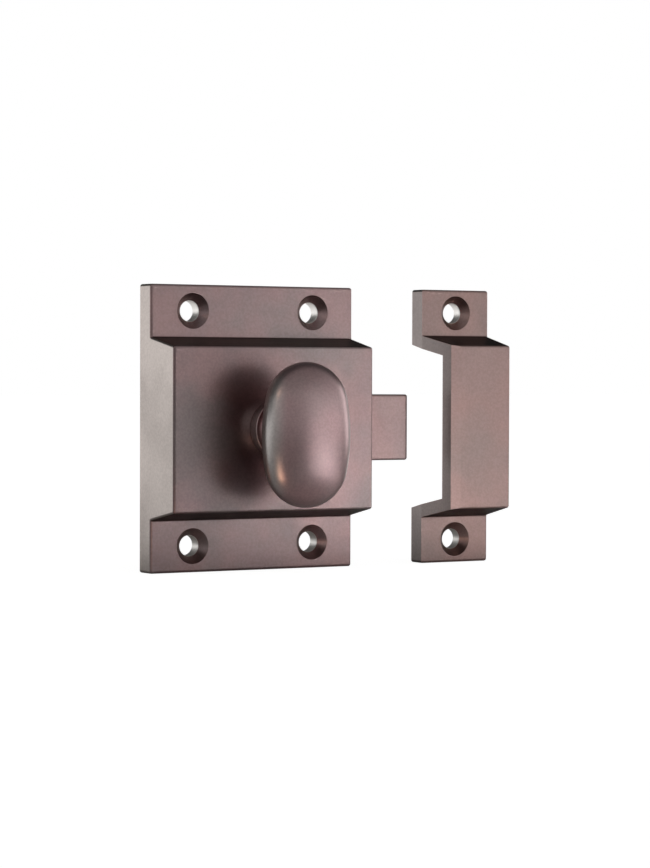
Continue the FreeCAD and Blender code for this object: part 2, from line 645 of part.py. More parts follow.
def build_strike():
    """Box strike: two ears, a raised housing open to the bolt, and a ramp along its mouth."""
    body = new_body("strike")
    side = new_sketch(body, "strike_side_view", "YZ_Plane", "dim.strike_left")
    half = (
        ("dim.case_height / 2", "0"),
        ("dim.case_height / 2", "dim.strike_ear"),
        (STRIKE_ROOT, "dim.strike_ear"),
        ("dim.strike_shoulder_half", "dim.strike_depth"),
    )
    draw_outline(side, half + mirrored(half)[::-1])
    pad(body, "strike_block", side, "dim.strike_width")

    mouth = new_sketch(body, "strike_mouth", "XZ_Plane")
    draw_outline(mouth, (
        ("dim.strike_left", "dim.strike_ear"),
        ("dim.strike_left + dim.strike_inset", "dim.strike_depth - dim.ramp_drop"),
        ("dim.strike_left + dim.strike_inset + dim.ramp_width", "dim.strike_depth"),
        ("dim.strike_left", "dim.strike_depth"),
    ))
    draw_outline(mouth, (
        (STRIKE_END, "0"),
        (STRIKE_END + " + dim.strike_draft", "0"),
        (STRIKE_END + " + dim.strike_draft", "dim.strike_depth"),
        (STRIKE_END + " - dim.strike_draft", "dim.strike_depth"),
    ))
    pocket(body, "strike_ramped", mouth, "2 * dim.case_height", symmetric=True)

    root, ear, front = value(STRIKE_ROOT), value("dim.strike_ear"), value("dim.strike_depth")
    top = value("dim.case_height / 2")
    round_edges(body, "strike_roots", "dim.root_round",
                lambda edge: level(edge, "z", ear) and (level(edge, "y", root) or level(edge, "y", -root)))
    far, slope = value(STRIKE_END), value("dim.strike_draft / dim.strike_depth")
    ramp_end = value("dim.strike_left + dim.strike_inset + dim.ramp_width")
    round_edges(body, "strike_edges", "dim.edge_round",
                lambda edge: not level(edge, "z", 0) and not level(edge, "x", ramp_end) and (
                    level(edge, "z", front)
                    or level(edge, "y", top) or level(edge, "y", -top)
                    or all(abs(end.X + slope * end.Z - far) < NEAR for end in edge.Vertexes)))

    hollow = new_sketch(body, "strike_hollow", "YZ_Plane", "dim.strike_left - dim.strike_wall")
    lean = "dim.strike_lean / (dim.strike_depth - dim.strike_ear)"
    wide = "%s - dim.strike_wall + dim.strike_ear * %s" % (STRIKE_ROOT, lean)
    narrow = "%s - dim.strike_wall - (dim.strike_inside - dim.strike_ear) * %s" % (STRIKE_ROOT, lean)
    draw_outline(hollow, (
        ("-(%s)" % wide, "0"),
        (wide, "0"),
        (narrow, "dim.strike_inside"),
        ("-(%s)" % narrow, "dim.strike_inside"),
    ))
    pocket(body, "strike_cavity", hollow, "dim.strike_width")

    holes = new_sketch(body, "strike_screw_places", "XY_Plane", "dim.strike_ear")
    for up in ("-" + STRIKE_HOLE_UP, STRIKE_HOLE_UP):
        draw_circle(holes, "dim.strike_left + dim.strike_width / 2", up, "dim.screw_hole")
    drill(body, "strike_screw_holes", holes, "dim.screw_hole", "dim.sink_width", "dim.sink_angle")
    return body


pieces = [
    build_case(),
    build_back_plate(),
    build_back_plate_screws(),
    build_bolt(),
    build_spring(),
    build_spring_pin(),
    build_knob_neck(build_knob()),
    build_cam(),
    build_washer(),
    build_cam_screw(),
    build_strike(),
]

doc.recompute()
for item in doc.Objects:
    if "Invalid" in item.State or "Error" in item.State:
        raise RuntimeError("%s did not build" % item.Label)
for piece in pieces:
    if piece.Shape.isNull() or not piece.Shape.isValid():
        raise RuntimeError("%s is not a sound solid" % piece.Label)

os.makedirs("parts", exist_ok=True)
for piece in pieces:
    piece.Shape.exportStep("parts/%s.step" % piece.Label)
    print("%-20s solids %d  volume %9.2f mm3" % (piece.Label, len(piece.Shape.Solids), piece.Shape.Volume))
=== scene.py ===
"""Looks of a surface-mounted cupboard latch in oiled bronze, with its box strike, in a white studio.

Everything is in metres in the frame of the solids: +X runs from the latch towards the strike, +Y into
the door and +Z up, from the middle of the latch's back. Angles are in degrees.
"""
import logging
import math
from dataclasses import dataclass
from enum import Enum

import bpy
import numpy as np
from mathutils import Matrix, Vector


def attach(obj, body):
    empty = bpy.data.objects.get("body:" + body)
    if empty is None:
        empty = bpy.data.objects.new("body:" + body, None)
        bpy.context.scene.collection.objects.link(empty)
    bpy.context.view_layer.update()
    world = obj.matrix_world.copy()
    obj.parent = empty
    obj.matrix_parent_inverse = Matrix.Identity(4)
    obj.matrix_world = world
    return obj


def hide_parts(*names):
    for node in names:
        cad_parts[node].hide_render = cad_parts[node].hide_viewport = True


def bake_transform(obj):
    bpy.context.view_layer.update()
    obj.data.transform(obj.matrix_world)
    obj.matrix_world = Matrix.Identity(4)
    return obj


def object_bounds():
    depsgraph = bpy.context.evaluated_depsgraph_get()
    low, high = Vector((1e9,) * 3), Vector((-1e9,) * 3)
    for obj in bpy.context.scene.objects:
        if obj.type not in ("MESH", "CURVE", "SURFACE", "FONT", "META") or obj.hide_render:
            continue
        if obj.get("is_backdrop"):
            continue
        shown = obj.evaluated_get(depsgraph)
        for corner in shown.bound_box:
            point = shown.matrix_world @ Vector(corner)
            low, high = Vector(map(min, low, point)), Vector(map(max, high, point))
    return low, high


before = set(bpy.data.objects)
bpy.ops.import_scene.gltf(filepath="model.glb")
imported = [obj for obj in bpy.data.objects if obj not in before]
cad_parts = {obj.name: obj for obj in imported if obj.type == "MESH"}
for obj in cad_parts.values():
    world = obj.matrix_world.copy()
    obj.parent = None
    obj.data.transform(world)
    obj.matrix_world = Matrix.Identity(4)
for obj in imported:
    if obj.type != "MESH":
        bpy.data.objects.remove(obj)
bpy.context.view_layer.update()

MM = 0.001

Colour = tuple[float, float, float]
Point = tuple[float, float, float]
Span = tuple[float, float]
# Tint of a casting's glancing reflection, which thick oil darkens.
DARK_EDGE: Colour = (0.30, 0.26, 0.25)
# Colour of the two small lamps that glint on the knob.
WARM: Colour = (1.0, 0.62, 0.42)
# Height that the lamps over the floor look at, the lowest of the latch.
FLOOR = -25.4 * MM
LOG = logging.getLogger("latch")


class Slot(Enum):
    """Material slots of the part's record."""

    BRONZE = "dark_bronze"
    STEEL = "steel"


class Body(Enum):
    """Bodies of the part that move as one."""

    CASE = "fixed_case"
    BOLT = "sliding_bolt"
    KNOB = "turning_knob"


class Axis(Enum):
    """Directions of the object's frame."""

    ACROSS = "X"
    OUT = "Y"


class Detail(Enum):
    """Octaves of finer grain in a random field."""

    SMOOTH = 2.0
    RICH = 3.0


class NodeSheet:
    """Short calls that add and join the nodes of one material or world."""

    def __init__(self, tree: bpy.types.NodeTree) -> None:
        """Start from an empty sheet.

        Args:
            tree: The node tree to fill.
        """
        self.tree = tree
        self.tree.nodes.clear()

    def add(self, kind: str, **inputs: object) -> bpy.types.Node:
        """Add a node and set or join its inputs.

        Args:
            kind: The node's type name.
            **inputs: Input names, with spaces as underscores, to numbers, colours or sockets.

        Returns:
            The new node.
        """
        node = self.tree.nodes.new(kind)
        for name, value in inputs.items():
            self.feed(node.inputs[name.replace("_", " ")], value)
        return node

    def feed(self, socket: bpy.types.NodeSocket, value: object) -> None:
        """Join a socket to an input, or set the input to a plain value.

        Args:
            socket: The input.
            value: A socket, a number, or a colour of three numbers.
        """
        if isinstance(value, bpy.types.NodeSocket):
            self.tree.links.new(value, socket)
        elif socket.type == "RGBA":
            socket.default_value = (*value, 1.0)
        else:
            socket.default_value = value

    def math(self, operation: str, first: object, second: object = 0.0) -> bpy.types.NodeSocket:
        """Work out one sum, product or other function of one or two numbers.

        Args:
            operation: The name of the function.
            first: A socket or a number.
            second: A socket or a number.

        Returns:
            The result.
        """
        node = self.tree.nodes.new("ShaderNodeMath")
        node.operation = operation
        self.feed(node.inputs[0], first)
        self.feed(node.inputs[1], second)
        return node.outputs[0]

    def dot(self, first: object, second: object) -> bpy.types.NodeSocket:
        """Give the dot product of two vectors.

        Args:
            first: A vector or its socket.
            second: A vector or its socket.

        Returns:
            The product, one number.
        """
        node = self.tree.nodes.new("ShaderNodeVectorMath")
        node.operation = "DOT_PRODUCT"
        self.feed(node.inputs[0], first)
        self.feed(node.inputs[1], second)
        return node.outputs["Value"]

    def ramp(self, value: object, low: object, high: object,
             start: object = 0.0, end: object = 1.0) -> bpy.types.NodeSocket:
        """Carry a number smoothly from one range to another, held at both ends.

        Args:
            value: The number's socket.
            low: Where the change begins.
            high: Where it ends.
            start: The result up to low.
            end: The result from high.

        Returns:
            The result.
        """
        node = self.tree.nodes.new("ShaderNodeMapRange")
        node.interpolation_type = "SMOOTHSTEP"
        names = ("Value", "From Min", "From Max", "To Min", "To Max")
        for name, number in zip(names, (value, low, high, start, end)):
            self.feed(node.inputs[name], number)
        return node.outputs["Result"]

    def mix(self, share: object, first: object, second: object,
            blend: str = "MIX") -> bpy.types.NodeSocket:
        """Mix two colours.

        Args:
            share: How much of the second shows, 0 to 1.
            first: A colour or its socket.
            second: A colour or its socket.
            blend: The way of mixing.

        Returns:
            The mixed colour.
        """
        node = self.tree.nodes.new("ShaderNodeMix")
        node.data_type = "RGBA"
        node.blend_type = blend
        self.feed(node.inputs[0], share)
        self.feed(node.inputs[6], first)
        self.feed(node.inputs[7], second)
        return node.outputs[2]

    def toned(self, colour: object, tone: object) -> bpy.types.NodeSocket:
        """Darken or lighten a colour.

        Args:
            colour: A colour or its socket.
            tone: The factor for all three channels.

        Returns:
            The product.
        """
        tint = self.add("ShaderNodeCombineColor", Red=tone, Green=tone, Blue=tone).outputs[0]
        return self.mix(1.0, colour, tint, "MULTIPLY")

    def noise(self, grain: Point, detail: Detail, shift: float = 0.0) -> bpy.types.NodeSocket:
        """Soft random field on the piece's own coordinates.

        Args:
            grain: Size of the grain along each axis, in metres.
            detail: How much finer grain it holds.
            shift: Moves the field, so that two fields differ.

        Returns:
            The field, about 0.5 in the middle.
        """
        place = self.add("ShaderNodeTexCoord").outputs["Object"]
        scale = tuple(1.0 / size for size in grain)
        stretched = self.add("ShaderNodeMapping", Vector=place, Scale=scale, Location=(shift,) * 3)
        field = self.add("ShaderNodeTexNoise", Vector=stretched.outputs[0], Scale=1.0,
                         Detail=detail.value)
        return field.outputs["Fac"]

    def place(self) -> bpy.types.Node:
        """Give the piece's own coordinates, one output per axis."""
        return self.add("ShaderNodeSeparateXYZ", Vector=self.add("ShaderNodeTexCoord").outputs["Object"])

    def facing(self) -> bpy.types.Node:
        """Give the direction a face looks in, in the piece's own coordinates, one output per axis."""
        return self.add("ShaderNodeSeparateXYZ", Vector=self.add("ShaderNodeTexCoord").outputs["Normal"])


@dataclass(frozen=True)
class Bores:
    """Drilled screw holes of a casting, whose walls are near-white: a painted reflection of the white
    background.
    """

    middle: float
    across: float
    up: float
    radius: float = 1.90 * MM
    edge: float = 0.03 * MM

    def mask(self, sheet: NodeSheet) -> bpy.types.NodeSocket:
        """Tell the inside of the holes from the rest.

        The distances across and up are folded over the middle, so that one hole stands for all.

        Args:
            sheet: The material's sheet.

        Returns:
            1 on the walls of the holes, 0 elsewhere.
        """
        place = sheet.place()
        folded_x = sheet.math("ABSOLUTE", sheet.math("SUBTRACT", place.outputs["X"], self.middle))
        folded_z = sheet.math("ABSOLUTE", place.outputs["Z"])
        off_x = sheet.math("SUBTRACT", folded_x, self.across)
        off_z = sheet.math("SUBTRACT", folded_z, self.up)
        square_x = sheet.math("MULTIPLY", off_x, off_x)
        square_z = sheet.math("MULTIPLY", off_z, off_z)
        distance = sheet.math("SQRT", sheet.math("ADD", square_x, square_z))
        return sheet.ramp(distance, self.radius + self.edge, self.radius)


@dataclass(frozen=True)
class OiledBronze:
    """Cast bronze, blasted to a satin and darkened with oil: brown with copper and grey patches."""

    name: str
    brown: Colour = (0.330, 0.236, 0.236)
    copper: Colour = (0.375, 0.250, 0.246)
    grey: Colour = (0.300, 0.244, 0.240)
    # Painted reflection: the near-white of the bores' walls.
    bore_white: Colour = (0.95, 0.93, 0.90)
    bore_roughness: float = 0.48
    patch_size: float = 9.0 * MM
    patch_range: Span = (0.36, 0.66)
    bloom_size: float = 14.0 * MM
    bloom_range: Span = (0.40, 0.70)
    bloom_shift: float = 7.3
    speck_size: float = 0.40 * MM
    speck_range: Span = (0.30, 0.70)
    speck_tones: Span = (0.93, 1.07)
    speck_shift: float = 3.1
    grain_size: float = 0.15 * MM
    grain_depth: float = 0.006 * MM
    roughness: float = 0.34
    roughness_spread: float = 0.04
    edge_width: float = 0.30 * MM
    edge_range: Span = (0.995, 0.90)
    edge_share: float = 0.30
    coat: float = 0.2
    coat_roughness: float = 0.28
    edge_tint: Colour = (1.0, 1.0, 1.0)
    # Painted light and shade: a tone along X, and a darker raised face.
    painted_light_reach: Span = (-1.0, 1.0)
    painted_light_tones: Span = (1.0, 1.0)
    face_shade_tone: float = 1.0
    face_shade_reach: Span = (-6.0 * MM, -10.0 * MM)
    # Painted shade on raised faces that look up or down.
    slope_shade_tone: float = 0.36
    slope_shade_reach: Span = (-3.3 * MM, -4.2 * MM)
    slope_shade_range: Span = (0.80, 0.95)
    # Painted light: the sides' paler colour; the strike's darker one is painted shade.
    painted_side_colour: Colour = (0.405, 0.366, 0.344)
    side_axis: Axis = Axis.OUT
    side_range: Span = (0.35, 0.15)
    shift: float = 0.0
    bores: Bores | None = None

    def build(self) -> bpy.types.Material:
        """Make the material.

        Copper and grey patches come from two soft fields, a fine speck varies the tone, and a rounded
        normal, compared with the true one, finds the rubbed edges. Painted light and shade then tone it
        along X, on the sides and on faces that look up or down; the bores get a painted reflection.

        Returns:
            The material.
        """
        material = bpy.data.materials.new(self.name)
        material.use_nodes = True
        sheet = NodeSheet(material.node_tree)
        patches = sheet.noise((self.patch_size,) * 3, Detail.SMOOTH, self.shift)
        blooms = sheet.noise((self.bloom_size,) * 3, Detail.RICH, self.shift + self.bloom_shift)
        specks = sheet.noise((self.speck_size,) * 3, Detail.SMOOTH, self.shift + self.speck_shift)
        grain = sheet.noise((self.grain_size,) * 3, Detail.RICH, self.shift)
        patch = sheet.ramp(patches, *self.patch_range)
        bloom = sheet.ramp(blooms, *self.bloom_range)
        speck = sheet.ramp(specks, *self.speck_range, *self.speck_tones)
        colour = sheet.mix(bloom, sheet.mix(patch, self.brown, self.copper), self.grey)
        # Painted light and shade: lighter towards +X, darker on the raised face.
        colour = sheet.toned(colour, self.painted_light_and_shade(sheet))
        # Painted light on the sides, and painted shade on the strike's sides.
        colour = sheet.mix(self.sides(sheet), colour, self.painted_side_colour)
        colour = sheet.mix(self.edges(sheet), colour, self.copper)
        # Painted shade on faces that look up or down, times a random speck.
        colour = sheet.toned(colour, sheet.math("MULTIPLY", speck, self.painted_slope_shade(sheet)))
        least, most = self.roughness - self.roughness_spread, self.roughness + self.roughness_spread
        rough = sheet.ramp(bloom, 0.0, 1.0, least, most)
        # Painted reflection: the bores' walls turn near-white.
        if self.bores:
            inside = self.bores.mask(sheet)
            colour = sheet.mix(inside, colour, self.bore_white)
            rough = sheet.ramp(inside, 0.0, 1.0, rough, self.bore_roughness)
        bump = sheet.add("ShaderNodeBump", Strength=1.0, Distance=self.grain_depth, Height=grain)
        shader = sheet.add("ShaderNodeBsdfPrincipled", Base_Color=colour, Metallic=1.0, Roughness=rough,
                           Specular_Tint=self.edge_tint, Normal=bump.outputs[0],
                           Coat_Weight=self.coat, Coat_Roughness=self.coat_roughness)
        sheet.add("ShaderNodeOutputMaterial", Surface=shader.outputs[0])
        return material

    def edges(self, sheet: NodeSheet) -> bpy.types.NodeSocket:
        """Give the share of copper that shows where edges are rubbed.

        Args:
            sheet: The material's sheet.

        Returns:
            The share, 0 on flat faces.
        """
        rounded = sheet.add("ShaderNodeBevel", Radius=self.edge_width)
        true_normal = sheet.add("ShaderNodeNewGeometry").outputs["Normal"]
        likeness = sheet.dot(rounded.outputs[0], true_normal)
        return sheet.ramp(likeness, *self.edge_range, 0.0, self.edge_share)

    def painted_light_and_shade(self, sheet: NodeSheet) -> bpy.types.NodeSocket:
        """Give the tone along X: painted light, lighter towards +X, where more light falls from the
        right.

        The raised face starts from a darker tone of its own: painted shade, where the knob darkens it.

        Args:
            sheet: The material's sheet.

        Returns:
            The tone, 1 for the plain colour.
        """
        place = sheet.place()
        first_tone, last_tone = self.painted_light_tones
        start = sheet.ramp(place.outputs["Y"], *self.face_shade_reach, first_tone, self.face_shade_tone)
        return sheet.ramp(place.outputs["X"], *self.painted_light_reach, start, last_tone)

    def sides(self, sheet: NodeSheet) -> bpy.types.NodeSocket:
        """Give the share of the sides' colour, told by how far a face looks along one axis: painted light
        where paler, painted shade on the strike's dark sides.

        Args:
            sheet: The material's sheet.

        Returns:
            The share, 0 on the front.
        """
        along = sheet.math("ABSOLUTE", sheet.facing().outputs[self.side_axis.value])
        return sheet.ramp(along, *self.side_range)

    def painted_slope_shade(self, sheet: NodeSheet) -> bpy.types.NodeSocket:
        """Give the tone of raised faces that look up or down: painted shade, as they face the dark above
        and below.

        They are the shoulders above and below the raised face, and the ends of the knob.

        Args:
            sheet: The material's sheet.

        Returns:
            The tone, 1 for other faces.
        """
        sloped = sheet.ramp(sheet.math("ABSOLUTE", sheet.facing().outputs["Z"]), *self.slope_shade_range)
        raised = sheet.ramp(sheet.place().outputs["Y"], *self.slope_shade_reach)
        return sheet.ramp(sheet.math("MULTIPLY", sloped, raised), 0.0, 1.0, 1.0, self.slope_shade_tone)


@dataclass(frozen=True)
class RolledBrass:
    """Sheet brass as rolled: a warm yellow with fine streaks along the rolling and a few dull spots."""

    name: str
    bright: Colour = (0.62, 0.45, 0.20)
    dull: Colour = (0.46, 0.33, 0.16)
    streak: Point = (9.0 * MM, 0.25 * MM, 0.25 * MM)
    streak_range: Span = (0.35, 0.75)
    streak_share: float = 0.45
    spot_size: float = 3.5 * MM
    spot_range: Span = (0.45, 0.70)
    spot_shift: float = 5.0
    roughness: float = 0.30
    roughness_spread: float = 0.08
    streak_depth: float = 0.004 * MM

    def build(self) -> bpy.types.Material:
        """Make the material from a field drawn out along X and a field of round spots.

        Returns:
            The material.
        """
        material = bpy.data.materials.new(self.name)
        material.use_nodes = True
        sheet = NodeSheet(material.node_tree)
        streaks = sheet.noise(self.streak, Detail.RICH)
        clouds = sheet.noise((self.spot_size,) * 3, Detail.RICH, self.spot_shift)
        spots = sheet.ramp(clouds, *self.spot_range)
        colour = sheet.mix(spots, self.bright, self.dull)
        drawn = sheet.ramp(streaks, *self.streak_range, 0.0, self.streak_share)
        colour = sheet.mix(drawn, colour, self.dull)
        rough = sheet.ramp(spots, 0.0, 1.0, self.roughness, self.roughness + self.roughness_spread)
        bump = sheet.add("ShaderNodeBump", Strength=1.0, Distance=self.streak_depth, Height=streaks)
        shader = sheet.add("ShaderNodeBsdfPrincipled", Base_Color=colour, Metallic=1.0, Roughness=rough,
                           Normal=bump.outputs[0])
        sheet.add("ShaderNodeOutputMaterial", Surface=shader.outputs[0])
        return material


@dataclass(frozen=True)
class ZincSteel:
    """Bright zinc on steel: cool grey with a faint cloud and fine turning marks."""

    name: str
    bright: Colour = (0.60, 0.61, 0.62)
    cloudy: Colour = (0.44, 0.45, 0.47)
    cloud_size: float = 1.6 * MM
    cloud_range: Span = (0.35, 0.70)
    mark_size: float = 0.12 * MM
    mark_shift: float = 2.0
    roughness: float = 0.27
    roughness_spread: float = 0.10
    mark_depth: float = 0.003 * MM

    def build(self) -> bpy.types.Material:
        """Make the material from a cloudy field and a fine one.

        Returns:
            The material.
        """
        material = bpy.data.materials.new(self.name)
        material.use_nodes = True
        sheet = NodeSheet(material.node_tree)
        cloud = sheet.ramp(sheet.noise((self.cloud_size,) * 3, Detail.RICH), *self.cloud_range)
        marks = sheet.noise((self.mark_size,) * 3, Detail.SMOOTH, self.mark_shift)
        colour = sheet.mix(cloud, self.bright, self.cloudy)
        rough = sheet.ramp(cloud, 0.0, 1.0, self.roughness, self.roughness + self.roughness_spread)
        bump = sheet.add("ShaderNodeBump", Strength=1.0, Distance=self.mark_depth, Height=marks)
        shader = sheet.add("ShaderNodeBsdfPrincipled", Base_Color=colour, Metallic=1.0, Roughness=rough,
                           Normal=bump.outputs[0])
        sheet.add("ShaderNodeOutputMaterial", Surface=shader.outputs[0])
        return material


def finish_solid(node: str, material: bpy.types.Material) -> None:
    """Give a solid of the frame its finish.

    Args:
        node: The solid's name.
        material: Its finish.
    """
    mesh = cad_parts[node].data
    if not mesh.materials:
        mesh.materials.append(material)
    for index in range(len(mesh.materials)):
        mesh.materials[index] = material
    LOG.info("%s is finished in %s", node, material.name)


@dataclass
class CaseAssembly:
    """Fixed pieces of the latch: the case, its back plate and screws, the spring's pin, the washer."""

    bronze: bpy.types.Material
    brass: bpy.types.Material
    steel: bpy.types.Material

    def dress(self) -> None:
        """Finish the solids of the case."""
        finish_solid("latch_case", self.bronze)
        for node in ("back_plate", "thrust_washer"):
            finish_solid(node, self.brass)
        for node in ("back_plate_screws", "spring_pin"):
            finish_solid(node, self.steel)


def arc(centre: tuple[float, float], radius: float, start: float, stop: float, count: int) -> np.ndarray:
    """Points of a circular arc, from the cosine and sine of evenly spaced angles.

    Args:
        centre: The circle's middle.
        radius: Its radius.
        start: First angle in degrees.
        stop: Last angle in degrees.
        count: Number of points.

    Returns:
        The points, one per row.
    """
    angle = np.radians(np.linspace(start, stop, count))
    return np.stack((centre[0] + radius * np.cos(angle), centre[1] + radius * np.sin(angle)), axis=1)


def ring_mesh(name: str, rings: np.ndarray, first_pole: np.ndarray,
              last_pole: np.ndarray) -> bpy.types.Mesh:
    """Closed skin over a stack of rings: four-cornered faces between neighbours and a fan at each pole.

    Args:
        name: The mesh's name.
        rings: Points as ring, place in the ring, coordinate.
        first_pole: Point that closes the first ring.
        last_pole: Point that closes the last ring.

    Returns:
        The mesh.
    """
    count, around = rings.shape[:2]
    index = np.arange(count * around).reshape(count, around)
    ahead = np.roll(index, -1, axis=1)
    quads = np.stack((index[:-1], ahead[:-1], ahead[1:], index[1:]), axis=-1).reshape(-1, 4)
    first, last = count * around, count * around + 1
    fans = np.concatenate((
        np.stack((np.full(around, first), ahead[0], index[0]), axis=-1),
        np.stack((np.full(around, last), index[-1], ahead[-1]), axis=-1),
    ))
    points = np.concatenate((rings.reshape(-1, 3), [first_pole], [last_pole]))
    mesh = bpy.data.meshes.new(name)
    mesh.from_pydata(points.tolist(), [], quads.tolist() + fans.tolist())
    mesh.validate()
    return mesh


@dataclass
class BoltAssembly:
    """The sliding bolt and the coil spring in its bore."""

    bronze: bpy.types.Material
    steel: bpy.types.Material
    spring_start: float = 7.15 * MM
    spring_end: float = 24.05 * MM
    spring_width: float = 3.5 * MM
    wire: float = 0.6 * MM
    turns: int = 9
    out: float = 4.25 * MM
    steps: int = 48
    around: int = 14

    def dress(self) -> None:
        """Finish the bolt."""
        finish_solid("latch_bolt", self.bronze)

    def build(self) -> bpy.types.Object:
        """Make the spring, which the pin holds at one end and the bolt presses together at the other.

        Returns:
            The spring.
        """
        spring = bpy.data.objects.new("bolt_coil", self.coil_mesh())
        bpy.context.scene.collection.objects.link(spring)
        spring.data.materials.append(self.steel)
        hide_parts("bolt_spring")
        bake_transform(spring)
        LOG.info("bolt_coil has %d faces", len(spring.data.polygons))
        return spring

    def coil_mesh(self) -> bpy.types.Mesh:
        """Coil: a round wire carried along a helix about the bolt's axis.

        The centre runs along X at an even rate while it circles. Each ring of the wire lies in the plane
        of the outward direction and of the cross product of the tangent with it.

        Returns:
            The mesh.
        """
        share = np.linspace(0.0, 1.0, self.turns * self.steps + 1)[:, None]
        turn = 2 * np.pi * self.turns * share
        rise = self.spring_end - self.spring_start - self.wire
        radius = (self.spring_width - self.wire) / 2
        outward = np.concatenate((0 * turn, np.cos(turn), np.sin(turn)), axis=1)
        centre = radius * outward + np.array((self.spring_start + self.wire / 2, -self.out, 0.0))
        centre[:, :1] += rise * share
        speed = 2 * np.pi * self.turns * radius
        tangent = np.concatenate((0 * turn + rise, -speed * np.sin(turn), speed * np.cos(turn)), axis=1)
        across = np.cross(tangent / np.linalg.norm(tangent, axis=1, keepdims=True), outward)
        angle = np.linspace(0.0, 2 * np.pi, self.around, endpoint=False)[None, :, None]
        section = np.cos(angle) * outward[:, None] + np.sin(angle) * across[:, None]
        mesh = ring_mesh("bolt_coil", centre[:, None] + self.wire / 2 * section, centre[0], centre[-1])
        mesh.polygons.foreach_set("use_smooth", np.ones(len(mesh.polygons), dtype=bool))
        return mesh


